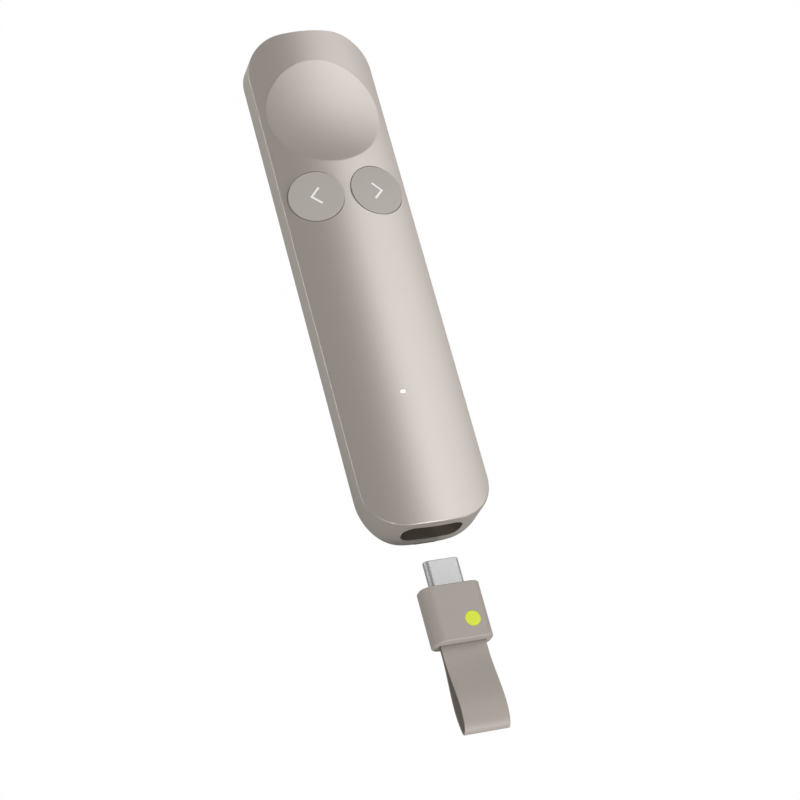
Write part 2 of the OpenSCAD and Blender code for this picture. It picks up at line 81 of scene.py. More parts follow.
def pullRings(piece, rings):
    # grows the selected ring of edges from place to place; each point keeps its spot number
    for ring in rings:
        bpy.ops.mesh.extrude_edges_move()
        leave()
        spots = piece.data.attributes["spot"].data
        for v in piece.data.vertices:
            if v.select:
                v.co = ring[spots[v.index].value]
        edit(piece)


def ringSolid(name, rings, endless=False):
    # a closed form that starts as a disc and is pulled through the rings to its last face;
    # an endless one starts as an open ring and meets itself again
    bpy.ops.object.select_all(action="DESELECT")
    bpy.ops.mesh.primitive_circle_add(vertices=len(rings[0]), radius=0.01,
                                      fill_type="NOTHING" if endless else "NGON")
    piece = bpy.context.object
    piece.name = name
    spot = piece.data.attributes.new("spot", "INT", "POINT")
    for i, v in enumerate(piece.data.vertices):
        spot.data[i].value = i
        v.co = rings[0][i]
    edit(piece)
    bpy.ops.mesh.select_all(action="SELECT")
    pullRings(piece, rings[1:])
    if not endless:
        bpy.ops.mesh.edge_face_add()
    tidy(piece)
    return piece


def stripSheet(name, ring):
    # a sheet of lengthwise strips, whose rim is the ring
    columns = len(ring) // 2
    bpy.ops.object.select_all(action="DESELECT")
    bpy.ops.mesh.primitive_grid_add(x_subdivisions=columns - 1, y_subdivisions=1, size=2)
    sheet = bpy.context.object
    sheet.name = name
    spot = sheet.data.attributes.new("spot", "INT", "POINT")
    for i, v in enumerate(sheet.data.vertices):
        column = round((v.co.x + 1) / 2 * (columns - 1))
        spot.data[i].value = column if v.co.y > 0 else 2 * columns - 1 - column
        v.co = ring[spot.data[i].value]
    return sheet


def stripSolid(name, rings):
    # a closed form between two strip sheets, with the rings between their rims
    piece = stripSheet(name, rings[0])
    edit(piece)
    bpy.ops.mesh.select_all(action="SELECT")
    bpy.ops.mesh.region_to_loop()
    pullRings(piece, rings[1:])
    leave()
    lid = stripSheet(name + "Lid", rings[-1])
    standAlone(piece)
    lid.select_set(True)
    bpy.ops.object.join()
    tidy(piece)
    return piece


def tidy(piece):
    # merges doubles and turns every face outwards
    edit(piece)
    bpy.ops.mesh.select_all(action="SELECT")
    bpy.ops.mesh.remove_doubles(threshold=1e-7)
    bpy.ops.mesh.normals_make_consistent(inside=False)
    leave()


past = 0.001  # how far a cutter reaches beyond what it cuts


def cutAway(piece, tool):
    # cuts the tool out of the piece and throws the tool away
    standAlone(piece)
    cut = piece.modifiers.new("cut", "BOOLEAN")
    cut.operation = "DIFFERENCE"
    cut.solver = "MANIFOLD"
    cut.object = tool
    bpy.ops.object.modifier_apply(modifier="cut")
    bpy.data.objects.remove(tool)


def block(name, low, high):
    # a box from corner to corner
    bpy.ops.object.select_all(action="DESELECT")
    low, high = Vector(low), Vector(high)
    bpy.ops.mesh.primitive_cube_add(size=1, location=(low + high) / 2, scale=high - low)
    piece = bpy.context.object
    piece.name = name
    bpy.ops.object.transform_apply(location=True, rotation=True, scale=True)
    return piece


def borrowNormals(piece, donor, test):
    # where the test holds, the shading comes from a clean, uncut sheet of the same surface
    standAlone(piece)
    group = piece.vertex_groups.new(name="clean")
    group.add([v.index for v in piece.data.vertices if test(v.co)], 1, "REPLACE")
    borrow = piece.modifiers.new("cleanNormals", "DATA_TRANSFER")
    borrow.object = donor
    borrow.use_loop_data = True
    borrow.data_types_loops = {"CUSTOM_NORMAL"}
    borrow.loop_mapping = "POLYINTERP_NEAREST"
    borrow.vertex_group = "clean"
    bpy.ops.object.modifier_apply(modifier="cleanNormals")
    piece.vertex_groups.clear()


def finish(piece, body, look, replaced, angle=32, donors=()):
    # shades, gives the piece its finish and lets it ride on its body
    edit(piece)
    bpy.ops.mesh.select_all(action="SELECT")
    bpy.ops.mesh.remove_doubles(threshold=2e-7)
    bpy.ops.mesh.dissolve_degenerate(threshold=2e-7)
    leave()
    standAlone(piece)
    bpy.ops.object.shade_smooth_by_angle(angle=radians(angle))
    even = piece.modifiers.new("evenNormals", "WEIGHTED_NORMAL")
    even.keep_sharp = True
    even.weight = 50
    bpy.ops.object.modifier_apply(modifier="evenNormals")
    for donor, test in donors:
        borrowNormals(piece, donor, test)
        bpy.data.objects.remove(donor)
    for old in [a for a in piece.data.attributes if a.name == "spot"]:
        piece.data.attributes.remove(old)
    piece.data.materials.clear()
    piece.data.materials.append(look)
    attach(piece, body)
    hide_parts(*replaced)
    return piece


def nodeGroup(name, inputs, outputs):
    group = bpy.data.node_groups.new(name, "ShaderNodeTree")
    for label, kind, value in inputs:
        socket = group.interface.new_socket(name=label, in_out="INPUT", socket_type=kind)
        socket.default_value = value
    for label, kind in outputs:
        group.interface.new_socket(name=label, in_out="OUTPUT", socket_type=kind)
    return group, group.nodes.new("NodeGroupInput"), group.nodes.new("NodeGroupOutput")


def makeGrain():
    # fine moulded or sprayed grain: a height for bumps and a gentle drift of shade
    group, into, out = nodeGroup(
        "fineGrain",
        [("Size", "NodeSocketFloat", 0.0001), ("Drift Size", "NodeSocketFloat", 0.02)],
        [("Height", "NodeSocketFloat"), ("Drift", "NodeSocketFloat")])
    place = group.nodes.new("ShaderNodeTexCoord")
    perMetre = group.nodes.new("ShaderNodeMath")
    perMetre.operation = "DIVIDE"
    perMetre.inputs[0].default_value = 1
    grain = group.nodes.new("ShaderNodeTexNoise")
    grain.inputs["Detail"].default_value = 2
    perMetreDrift = group.nodes.new("ShaderNodeMath")
    perMetreDrift.operation = "DIVIDE"
    perMetreDrift.inputs[0].default_value = 1
    drift = group.nodes.new("ShaderNodeTexNoise")
    drift.inputs["Detail"].default_value = 1
    join = group.links.new
    join(into.outputs["Size"], perMetre.inputs[1])
    join(into.outputs["Drift Size"], perMetreDrift.inputs[1])
    for noise, scale in ((grain, perMetre), (drift, perMetreDrift)):
        join(place.outputs["Object"], noise.inputs["Vector"])
        join(scale.outputs[0], noise.inputs["Scale"])
    join(grain.outputs["Fac"], out.inputs["Height"])
    join(drift.outputs["Fac"], out.inputs["Drift"])
    return group


def makeBrushing():
    # long fine lines along Y, for drawn and plated metal
    group, into, out = nodeGroup(
        "drawnLines",
        [("Width", "NodeSocketFloat", 0.00008)],
        [("Height", "NodeSocketFloat")])
    place = group.nodes.new("ShaderNodeTexCoord")
    squeeze = group.nodes.new("ShaderNodeMapping")
    squeeze.inputs["Scale"].default_value = (1, 0.04, 1)
    perMetre = group.nodes.new("ShaderNodeMath")
    perMetre.operation = "DIVIDE"
    perMetre.inputs[0].default_value = 1
    lines = group.nodes.new("ShaderNodeTexNoise")
    lines.inputs["Detail"].default_value = 3
    join = group.links.new
    join(place.outputs["Object"], squeeze.inputs["Vector"])
    join(squeeze.outputs["Vector"], lines.inputs["Vector"])
    join(into.outputs["Width"], perMetre.inputs[1])
    join(perMetre.outputs[0], lines.inputs["Scale"])
    join(lines.outputs["Fac"], out.inputs["Height"])
    return group


grainGroup = makeGrain()
linesGroup = makeBrushing()


def material(name, colour, rough, metal=0.0, grain=0.00012, bump=0.02, drift=0.03,
             roughDrift=0.04, lines=None, **sockets):
    # one finish: a base colour that drifts a little, grain in its roughness and bumps
    mat = bpy.data.materials.new(name)
    mat.use_nodes = True
    tree = mat.node_tree
    shader = tree.nodes["Principled BSDF"]
    join = tree.links.new
    texture = tree.nodes.new("ShaderNodeGroup")
    texture.node_tree = grainGroup
    texture.inputs["Size"].default_value = grain
    tint = tree.nodes.new("ShaderNodeMix")
    tint.data_type = "RGBA"
    tint.inputs["A"].default_value = (*[c * (1 - drift) for c in colour], 1)
    tint.inputs["B"].default_value = (*[min(1, c * (1 + drift)) for c in colour], 1)
    join(texture.outputs["Drift"], tint.inputs["Factor"])
    join(tint.outputs["Result"], shader.inputs["Base Color"])
    height = texture.outputs["Height"]
    if lines:
        drawn = tree.nodes.new("ShaderNodeGroup")
        drawn.node_tree = linesGroup
        drawn.inputs["Width"].default_value = lines
        height = drawn.outputs["Height"]
    # the noise lies mostly between 0.3 and 0.7
    spread = tree.nodes.new("ShaderNodeMapRange")
    spread.inputs["From Min"].default_value = 0.3
    spread.inputs["From Max"].default_value = 0.7
    spread.inputs["To Min"].default_value = rough - roughDrift
    spread.inputs["To Max"].default_value = rough + roughDrift
    join(height, spread.inputs["Value"])
    join(spread.outputs["Result"], shader.inputs["Roughness"])
    relief = tree.nodes.new("ShaderNodeBump")
    relief.inputs["Strength"].default_value = bump
    relief.inputs["Distance"].default_value = (lines or grain) / 2
    join(height, relief.inputs["Height"])
    join(relief.outputs["Normal"], shader.inputs["Normal"])
    shader.inputs["Metallic"].default_value = metal
    for socket, value in sockets.items():
        shader.inputs[socket.replace("_", " ")].default_value = value
    return mat


finishes = {
    "cover": material("coverLacquer", (0.362, 0.317, 0.280), 0.40, metal=0.30, grain=0.00009,
                      bump=0.04, drift=0.012, roughDrift=0.03, IOR=2.2, Specular_IOR_Level=0.68),
    "key": material("keyPlastic", (0.42, 0.385, 0.355), 0.55, bump=0.06, drift=0.015),
    "chevron": material("chevronWhite", (0.90, 0.88, 0.85), 0.5),
    "light": material("lightLens", (0.86, 0.84, 0.82), 0.4,
                      Emission_Color=(1, 0.98, 0.95, 1), Emission_Strength=0.2),
    "dock": material("dockPlastic", (0.12, 0.098, 0.077), 0.65, bump=0.1),
    "chassis": material("chassisPlastic", (0.04, 0.04, 0.042), 0.55, bump=0.1),
    "board": material("boardGreen", (0.02, 0.12, 0.05), 0.35),
    "chip": material("chipBlack", (0.025, 0.025, 0.027), 0.6, bump=0.15),
    "ivory": material("switchPlastic", (0.70, 0.67, 0.60), 0.45),
    "thinSteel": material("thinSteel", (0.62, 0.62, 0.63), 0.32, metal=1.0, lines=0.00012),
    "screwSteel": material("screwSteel", (0.55, 0.55, 0.56), 0.35, metal=1.0),
    "plug": material("plugNickel", (0.49, 0.49, 0.494), 0.55, metal=1.0, lines=0.00006,
                     bump=0.03),
    "foil": material("batteryFoil", (0.60, 0.61, 0.63), 0.38, metal=1.0, grain=0.0006, bump=0.1),
    "lead": material("leadRubber", (0.25, 0.03, 0.03), 0.6),
    "receiver": material("receiverPlastic", (0.357, 0.317, 0.285), 0.55, bump=0.06, drift=0.015),
    "strap": material("strapRubber", (0.333, 0.294, 0.263), 0.50, grain=0.00015, bump=0.1,
                      drift=0.02),
    "dot": material("dotLime", (0.64, 0.72, 0.012), 0.45),
    "led": material("ledWhite", (0.95, 0.95, 0.88), 0.35,
                    Emission_Color=(1, 0.98, 0.92, 1), Emission_Strength=0.8),
}
print("finishes made:", len(finishes))

nodeFinish = {
    "back_chevron": "chevron", "next_chevron": "chevron", "light_pipe": "light",
    "status_led": "led", "dock_sleeve": "dock", "chassis": "chassis", "main_board": "board",
    "receiver_board": "board", "dish_switch": "chip", "back_switch": "chip",
    "next_switch": "chip", "control_chip": "chip", "motion_sensor": "chip",
    "receiver_chip": "chip", "plug_insert": "chip", "usb_socket_tongue": "chip",
    "dish_plunger": "ivory", "back_plunger": "ivory", "next_plunger": "ivory",
    "antenna": "ivory", "battery_tape": "ivory", "battery_connector": "ivory",
    "radio_shield": "thinSteel", "vibration_motor": "thinSteel",
    "usb_socket_shell": "thinSteel", "screws": "screwSteel", "strap_pin": "screwSteel",
    "battery": "foil", "battery_leads": "lead", "receiver_face": "receiver",
    "receiver_dot": "dot",
}
for node, finishName in nodeFinish.items():
    for slot in nodes[node].material_slots:
        slot.material = finishes[finishName]


bodyForm = {
    "cornerRadius": 0.010,
    "endRadius": 0.072,
    "crownRadius": 0.038,
    "backRadius": 0.0295,
    "restWidth": 0.009,
    "wall": 0.0014,
    "seam": 0.0001,
    "lip": 0.0009,
    "edge": (0.00015, 0.0004),  # fillet where the crown meets the walls: sides, tail
    "edgeFade": (-0.052, -0.062),  # Y where the one grows into the other
    "lowEdge": 0.00018,
    "lipEdge": (0.0001, 0.0001),  # the same for the back cover's lip
    "cornerSteps": 30,
    "endSteps": 26,
}
halfWidth, halfLength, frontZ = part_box("top_cover")[1]
restCut = bodyForm["backRadius"] - sqrt(bodyForm["backRadius"] ** 2
                                        - (bodyForm["restWidth"] / 2) ** 2)


def crownZ(x, inset=0.0):
    r = bodyForm["crownRadius"]
    return frontZ - r + sqrt((r - inset) ** 2 - x * x)


def backZ(x, inset=0.0):
    r = bodyForm["backRadius"]
    return max(inset, r - restCut - sqrt((r - inset) ** 2 - x * x))


def outline(inset):
    # dish end from left to right, then tail end from right to left
    r, e = bodyForm["cornerRadius"], bodyForm["endRadius"]
    cornerX, endY = halfWidth - r, halfLength - e
    cornerY = endY + sqrt((e - r) ** 2 - cornerX ** 2)
    turn = atan2(cornerY - endY, cornerX)
    flat = acos(bodyForm["restWidth"] / 2 / e)  # a column runs along the edge of the flat
    angles = [turn + (flat - turn) * i / 4 for i in range(1, 4)]
    steps = bodyForm["endSteps"] // 2
    angles += [flat + (pi / 2 - flat) * i / steps for i in range(steps)]
    right = [(cornerX + (r - inset) * cos(turn * i / bodyForm["cornerSteps"]),
              cornerY + (r - inset) * sin(turn * i / bodyForm["cornerSteps"]))
             for i in range(bodyForm["cornerSteps"] + 1)]
    right += [((e - inset) * cos(a), endY + (e - inset) * sin(a)) for a in angles]
    half = [(-x, y) for x, y in right] + [(0.0, endY + e - inset)] + right[::-1]
    return half + [(x, -y) for x, y in half[::-1]]


def ringAt(inset, height):
    return [(x, y, height(x)) for x, y in outline(inset)]


def rounding(start, corner, end, steps=3):
    # rings that turn from one surface to the next over a soft edge
    rings = []
    for i in range(1, steps + 1):
        t = i / steps
        rings.append([tuple((1 - t) ** 2 * a + 2 * t * (1 - t) * b + t * t * c
                            for a, b, c in zip(p, q, s))
                      for p, q, s in zip(start, corner, end)])
    return rings


def bodyRings(inset, edge, lowEdge, top, low):
    # rings from the rim of the top surface, round the wall, to the rim of the low surface
    topCorner, lowCorner = ringAt(inset, top), ringAt(inset, low)
    start, end = bodyForm["edgeFade"]
    grown = [min(1, max(0, (y - start) / (end - start))) for x, y, z in topCorner]
    narrow, wide = ringAt(inset + edge[0], top), ringAt(inset + edge[1], top)
    topRim = [(a[0] + (b[0] - a[0]) * t, a[1] + (b[1] - a[1]) * t)
              for a, b, t in zip(narrow, wide, grown)]
    topRim = [(x, y, top(x)) for x, y in topRim]
    lowRim = ringAt(inset + lowEdge, low)
    wallTop = [(x, y, z - edge[0] - (edge[1] - edge[0]) * t)
               for (x, y, z), t in zip(topCorner, grown)]
    wallLow = [(x, y, z + lowEdge) for x, y, z in lowCorner]
    return ([topRim] + rounding(topRim, topCorner, wallTop) + [wallLow]
            + rounding(wallLow, lowCorner, lowRim))


def roundRect(width, height, radius, steps=10):
    # points of a rectangle with round corners, centred on zero
    points = []
    for quarter in range(4):
        sx = 1 if quarter in (0, 3) else -1
        sy = 1 if quarter < 2 else -1
        for i in range(steps + 1):
            a = pi / 2 * (quarter + i / steps)
            points.append((sx * (width / 2 - radius) + radius * cos(a),
                           sy * (height / 2 - radius) + radius * sin(a)))
    return points


def holeTool(name, centre, points, lowZ, flare):
    # a cutter for a hole in the crown, opened out a little along its rim
    def ring(grow, rise, level=None):
        placed = []
        for x, y in points:
            d = sqrt(x * x + y * y)
            x, y = centre[0] + x * (d + grow) / d, centre[1] + y * (d + grow) / d
            z = crownZ(min(abs(x), halfWidth)) + rise if level is None else level
            placed.append((x, y, z))
        return placed
    rings = [ring(0, 0, lowZ), ring(0, -flare), ring(flare * 0.3, -flare * 0.3),
             ring(flare, 0), ring(flare * 1.5, flare * 0.5), ring(flare * 1.5, 3 * past)]
    return ringSolid(name, rings)


def circlePoints(radius, count):
    return [(radius * cos(2 * pi * i / count), radius * sin(2 * pi * i / count))
            for i in range(count)]


def cleanSheet(name, height, low, high, columns, rows):
    # an uncut sheet of a surface, whose shading other pieces borrow
    bpy.ops.object.select_all(action="DESELECT")
    bpy.ops.mesh.primitive_grid_add(x_subdivisions=columns, y_subdivisions=rows, size=2)
    sheet = bpy.context.object
    sheet.name = name
    for v in sheet.data.vertices:
        x = low[0] + (high[0] - low[0]) * (v.co.x + 1) / 2
        y = low[1] + (high[1] - low[1]) * (v.co.y + 1) / 2
        v.co = (x, y, height(x, y))
    bpy.ops.object.shade_smooth()
    return sheet


sheetForm = {"past": 0.0005, "columns": 180, "rows": 2, "keySteps": 24}
# how near to the sheet a point lies that takes its shading from it
onCrown, onBack, onKey = 1e-5, 2e-6, 4e-6


def crownSheet():
    reach = halfWidth + sheetForm["past"]
    return cleanSheet("crownSheet", lambda x, y: crownZ(x), (-reach, -halfLength),
                      (reach, halfLength), sheetForm["columns"], sheetForm["rows"])


def backSheet():
    # laid out from the other end, so that it faces down
    reach = halfWidth + sheetForm["past"]
    return cleanSheet("backSheet", lambda x, y: backZ(x), (-reach, halfLength),
                      (reach, -halfLength), sheetForm["columns"], sheetForm["rows"])


dishForm = {
    "radius": 0.01387,
    "depth": 0.00145,
    "fromEnd": 0.022,
    "gap": 0.000015,  # seam round the dish
    "flare": 0.000006,  # how far the rim of its hole opens out
    "edge": 0.00001,
    "skirt": 0.0004,  # end of its side wall, above the chassis
    "pocket": 0.6,  # share of the radius that is hollow beneath
    "stem": 0.0015,  # radius of the post over the switch
    "middle": 0.02,  # share of the radius where the first ring lies
    "steps": 30,
    "sides": 168,
}
keyForm = {
    "radius": 0.0064,
    "across": 0.0074,  # from the middle of the clicker
    "down": 0.02218,  # from the middle of the dish
    "tilt": 10.5,
    "rise": 0.00021,
    "dome": 0.080,
    "rings": (0.1, 0.28, 0.46, 0.64, 0.82, 1),  # shares of the radius
    "gap": 0.00013,
    "flare": 0.00002,
    "holeShift": (-0.00002, -0.00004),
    "edge": 0.00008,
    "skirt": 0.00045,
    "stem": 0.0015,
    "sides": 112,
}
windowForm = {
    "long": 0.0015,
    "wide": 0.0009,
    "gap": 0.00005,
    "flare": 0.00004,
    "flat": 0.00001,  # what its round ends fall short of half circles
    "up": 0.032,  # from the end of the tail
}
dockForm = {
    "width": 0.0143,
    "height": 0.0068,
    "corner": 0.00275,
    "sleeve": 0.0002,  # wall of the dark sleeve
    "gap": 0.00005,
    "deep": 0.0035,  # of the sleeve's room in the tail wall
    "mouthWidth": 0.0143,
    "mouthHeight": 0.00722,
    "mouthCorner": 0.0030,
    "lip": 0.00008,  # thickness of the lip round the mouth
    "edge": 0.00003,
    "steps": 14,
    "roomWider": 0.0009,  # the back cover keeps this far from the sleeve
    "roomShort": 0.006,  # and this much shorter
    "pryWidth": 0.0052,
    "pryHeight": 0.00065,
    "pryInset": 0.00003,  # the dark edge, painted shade in the pry slot, lies this far behind the tail's face
    "pryReach": 0.00008,  # and ends this far past the wall
    "pryShadeEdge": 0.00006,
}
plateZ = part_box("chassis")[1].z
holeLowZ = plateZ - 0.0001  # the dish and key holes go down past the face of the chassis
dishY = halfLength - dishForm["fromEnd"]
keyY = dishY - keyForm["down"]
lightY = windowForm["up"] - halfLength
dockZ = frontZ / 2


def makeTopCover():
    wall = bodyForm["wall"]
    cover = stripSolid("topCover", bodyRings(0, bodyForm["edge"], bodyForm["lowEdge"],
                                             crownZ, backZ))
    inside = [ringAt(wall, lambda x: crownZ(x, wall)), ringAt(wall, lambda x: -2 * past)]
    cutAway(cover, stripSolid("inside", inside))
    # dish and key openings
    cutAway(cover, holeTool("dishHole", (0, dishY),
                            circlePoints(dishForm["radius"] + dishForm["gap"], dishForm["sides"]),
                            holeLowZ, dishForm["flare"]))
    shiftX, shiftY = keyForm["holeShift"]
    for side in (-1, 1):
        cutAway(cover, holeTool("keyHole", (side * keyForm["across"] + shiftX, keyY + shiftY),
                                circlePoints(keyForm["radius"] + keyForm["gap"],
                                             keyForm["sides"]),
                                holeLowZ, keyForm["flare"]))
    # window of the light
    grow = 2 * windowForm["gap"]
    cutAway(cover, holeTool("windowHole", (0, lightY),
                            roundRect(windowForm["long"] + grow, windowForm["wide"] + grow,
                                      (windowForm["wide"] + grow) / 2 - windowForm["flat"]),
                            plateZ, windowForm["flare"]))
    # mouth of the dock: a thin lip of the cover laps over the end of its sleeve
    grow = 2 * (dockForm["sleeve"] + dockForm["gap"])
    room = roundRect(dockForm["width"] + grow, dockForm["height"] + grow,
                     dockForm["corner"] + grow / 2, dockForm["steps"])
    mouth = roundRect(dockForm["mouthWidth"], dockForm["mouthHeight"], dockForm["mouthCorner"],
                      dockForm["steps"])
    tailEnd = outline(0)[len(outline(0)) // 2:]

    def wallY(x):
        for (x0, y0), (x1, y1) in zip(tailEnd, tailEnd[1:]):
            if x1 <= x <= x0:
                return y1 + (y0 - y1) * (x - x1) / (x0 - x1)
        return -halfLength

    def mouthRing(shape, widen, inward, level=None):
        placed = []
        for x, z in shape:
            d = sqrt(x * x + z * z)
            x, z = x * (d + widen) / d, z * (d + widen) / d
            placed.append((x, wallY(x) + inward if level is None else level, dockZ + z))
        return placed
    flare = dockForm["edge"]
    cutAway(cover, ringSolid("mouth", [
        mouthRing(room, 0, 0, -halfLength + dockForm["deep"]),
        mouthRing(room, 0, dockForm["lip"]),
        mouthRing(mouth, 0, dockForm["lip"]), mouthRing(mouth, 0, flare),
        mouthRing(mouth, flare * 0.3, flare * 0.3), mouthRing(mouth, flare, 0),
        mouthRing(mouth, flare * 1.5, -flare * 0.5),
        mouthRing(mouth, flare * 1.5, 0, -halfLength - 2 * past)]))
    # pry slot under the dock
    half = dockForm["pryWidth"] / 2
    cutAway(cover, block("prySlot", (-half, -halfLength - past, -past),
                         (half, -halfLength + wall + past, dockForm["pryHeight"])))
    return finish(cover, "clicker", finishes["cover"], ("top_cover",), donors=[
        (crownSheet(), lambda p: abs(p.z - crownZ(p.x)) < onCrown),
        (backSheet(), lambda p: abs(p.z - backZ(p.x)) < onBack)])


topCover = makeTopCover()
print("top cover:", len(topCover.data.polygons), "faces")


def makeBackCover():
    wall = bodyForm["wall"]
    inset = wall + bodyForm["seam"]
    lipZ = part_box("back_cover")[1].z
    cover = stripSolid("backCover", bodyRings(inset, bodyForm["lipEdge"], bodyForm["lowEdge"],
                                              lambda x: lipZ, backZ))
    inside = [ringAt(inset + bodyForm["lip"], lambda x: lipZ + 2 * past),
              ringAt(inset + bodyForm["lip"], lambda x: backZ(x, wall))]
    cutAway(cover, stripSolid("inside", inside))
    # room for the dock's sleeve
    wider = dockForm["roomWider"]
    sleeve = roundRect(dockForm["width"] + 2 * wider, dockForm["height"] + 2 * wider,
                       dockForm["corner"] + wider)
    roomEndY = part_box("dock_sleeve")[1].y - dockForm["roomShort"]
    cutAway(cover, ringSolid("sleeveRoom", [[(x, y, dockZ + z) for x, z in sleeve]
                                            for y in (-halfLength - past, roomEndY)]))
    return finish(cover, "clicker", finishes["cover"], ("back_cover",), donors=[
        (backSheet(), lambda p: abs(p.z - backZ(p.x)) < onBack)])


def makeShadePryEdge():
    # edge of the back cover that shows in the pry slot, made of dark plastic as painted shade for
    # the shadow in the slot
    half = dockForm["pryWidth"] / 2 - bodyForm["seam"]
    lip = block("pryShadeEdge", (-half, -halfLength + dockForm["pryInset"], 0),
                (half, -halfLength + bodyForm["wall"] + dockForm["pryReach"],
                 dockForm["pryHeight"] / 2))
    selectEdges(lip, lambda a, b: abs(a.x - b.x) > 0.001 and min(a.z, b.z) > 0.0001)
    edit(lip)
    bpy.ops.mesh.bevel(offset=dockForm["pryShadeEdge"], offset_type="OFFSET", segments=3, profile=0.5)
    leave()
    # the dark dock plastic here paints the shade inside the pry slot
    return finish(lip, "clicker", finishes["dock"], ("back_cover",))


backPieces = [makeBackCover(), makeShadePryEdge()]
print("back cover:", sum(len(piece.data.polygons) for piece in backPieces), "faces")


def dishZ(x, y):
    # the hollow runs along the body, and from side to side it follows the crown
    r, depth = dishForm["radius"], dishForm["depth"]
    turnRadius = (r * r + depth * depth) / (2 * depth)
    sag = frontZ - crownZ(r) - depth
    sideRadius = (r * r + sag * sag) / (2 * sag)
    reach = turnRadius + sideRadius - sqrt(sideRadius ** 2 - x * x)
    return frontZ - depth + turnRadius - sqrt(reach ** 2 - (y - dishY) ** 2)


def makeDish():
    r, edge = dishForm["radius"], dishForm["edge"]
    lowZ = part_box("dish_button")[0].z

    def ring(radius, height):
        return [(x, dishY + y, height(x, dishY + y))
                for x, y in circlePoints(radius, dishForm["sides"])]
    steps = dishForm["steps"]
    rings = [ring(r * dishForm["middle"], dishZ)]
    rings += [ring((r - edge) * i / steps, dishZ) for i in range(1, steps + 1)]
    rings += rounding(rings[-1], ring(r, dishZ), ring(r, lambda x, y: dishZ(x, y) - edge), 2)
    pocket, stem = r * dishForm["pocket"], dishForm["stem"]
    skirtZ = plateZ + dishForm["skirt"]
    under = frontZ - dishForm["depth"] - bodyForm["wall"]
    rings += [ring(r, lambda x, y: skirtZ), ring(pocket, lambda x, y: skirtZ),
              ring(pocket, lambda x, y: under), ring(stem, lambda x, y: under),
              ring(stem, lambda x, y: lowZ)]
    dish = ringSolid("dishButton", rings)
    return finish(dish, "dish", finishes["cover"], ("dish_button",))


dishButton = makeDish()
print("dish button:", len(dishButton.data.polygons), "faces")


chevronForm = {
    "tall": 0.0041,
    "long": 0.0021,
    "ahead": 0.6,  # share of the length in front of the key's middle
    "stroke": 0.0005,
    "deep": 0.0002,
    "gap": 0.00001,
    "edge": 0.00003,
    "shift": {-1: (0.00003, -0.00006), 1: (-0.00014, -0.00024)},  # back key, next key
}


def keyFaceZ(x, y):
    # the face leans with the crown and is very slightly domed
    out, along = abs(x) - keyForm["across"], y - keyY
    middle = crownZ(keyForm["across"]) + keyForm["rise"]
    return (middle - out * tan(radians(keyForm["tilt"]))
            - (out * out + along * along) / (2 * keyForm["dome"]))


def chevronRing(side, grow, rise):
    # six corners of the chevron on the slope of the key's face
    tall, long = chevronForm["tall"] / 2, chevronForm["long"]
    across = chevronForm["stroke"] / 2 + grow
    leg = sqrt(long * long + tall * tall)
    nose = across * leg / tall
    tip, end = long * chevronForm["ahead"], -long * (1 - chevronForm["ahead"])
    endX, endY = across * tall / leg, across * long / leg
    shape = [(tip + nose, 0), (end + endX, tall + endY), (end - endX, tall - endY),
             (tip - nose, 0), (end - endX, endY - tall), (end + endX, -tall - endY)]
    shiftX, shiftY = chevronForm["shift"][side]
    ring = []
    for x, y in shape:
        x, y = side * keyForm["across"] + side * x + shiftX, keyY + y + shiftY
        ring.append((x, y, keyFaceZ(x, y) + rise))
    return ring


def makeKey(side, name, node, body):
    r, edge = keyForm["radius"], keyForm["edge"]
    cx = side * keyForm["across"]

    def ring(radius, height):
        return [(cx + x, keyY + y, height(cx + x, keyY + y))
                for x, y in circlePoints(radius, keyForm["sides"])]
    rings = [ring((r - edge) * share, keyFaceZ) for share in keyForm["rings"]]
    rings += rounding(rings[-1], ring(r, keyFaceZ), ring(r, lambda x, y: keyFaceZ(x, y) - edge))
    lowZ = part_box(node)[0].z
    skirtZ = plateZ + keyForm["skirt"]
    rings += [ring(r, lambda x, y: skirtZ), ring(keyForm["stem"], lambda x, y: skirtZ),
              ring(keyForm["stem"], lambda x, y: lowZ)]
    key = ringSolid(name, rings)
    deep, gap = chevronForm["deep"], chevronForm["gap"]
    cutAway(key, ringSolid("chevronRoom", [chevronRing(side, gap, -deep - gap),
                                           chevronRing(side, gap, past / 2)]))
    face = cleanSheet("keySheet", keyFaceZ, (cx - r, keyY - r), (cx + r, keyY + r),
                      sheetForm["keySteps"], sheetForm["keySteps"])

    def onFace(p):
        return (abs(p.z - keyFaceZ(p.x, p.y)) < onKey
                and Vector((p.x - cx, p.y - keyY)).length < r - edge + 1e-6)
    return finish(key, body, finishes["key"], (node,), donors=[(face, onFace)])


def makeChevron(side, name, node, body):
    # second shot of white, a hair below the face of the key
    deep, edge = chevronForm["deep"], chevronForm["edge"]
    chevron = ringSolid(name, [chevronRing(side, 0, -deep), chevronRing(side, 0, -edge),
                               chevronRing(side, -edge * 0.3, -edge * 0.3),
                               chevronRing(side, -edge, 0)])
    return finish(chevron, body, finishes["chevron"], (node,))


keyPieces = [makeKey(-1, "backKey", "back_button", "back_key"),
             makeKey(1, "nextKey", "next_button", "next_key"),
             makeChevron(-1, "backChevron", "back_chevron", "back_key"),
             makeChevron(1, "nextChevron", "next_chevron", "next_key")]
print("keys:", sum(len(piece.data.polygons) for piece in keyPieces), "faces")


receiverForm = {
    "width": 0.014,
    "height": 0.0065,
    "corner": 0.0026,
    "wall": 0.0009,
    "plugEdge": 0.00024,
    "strapEdge": 0.0005,
    "slitWidth": 0.0109,
    "slitHeight": 0.0017,
    "dotX": 0.0027,
    "dotUp": 0.0044,  # from the strap's end
    "dotRadius": 0.0018,
    "dotDepth": 0.0002,
    "dotGap": 0.00002,
    "dotSides": 72,
}
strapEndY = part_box("receiver_housing")[0].y
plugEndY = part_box("receiver_housing")[1].y


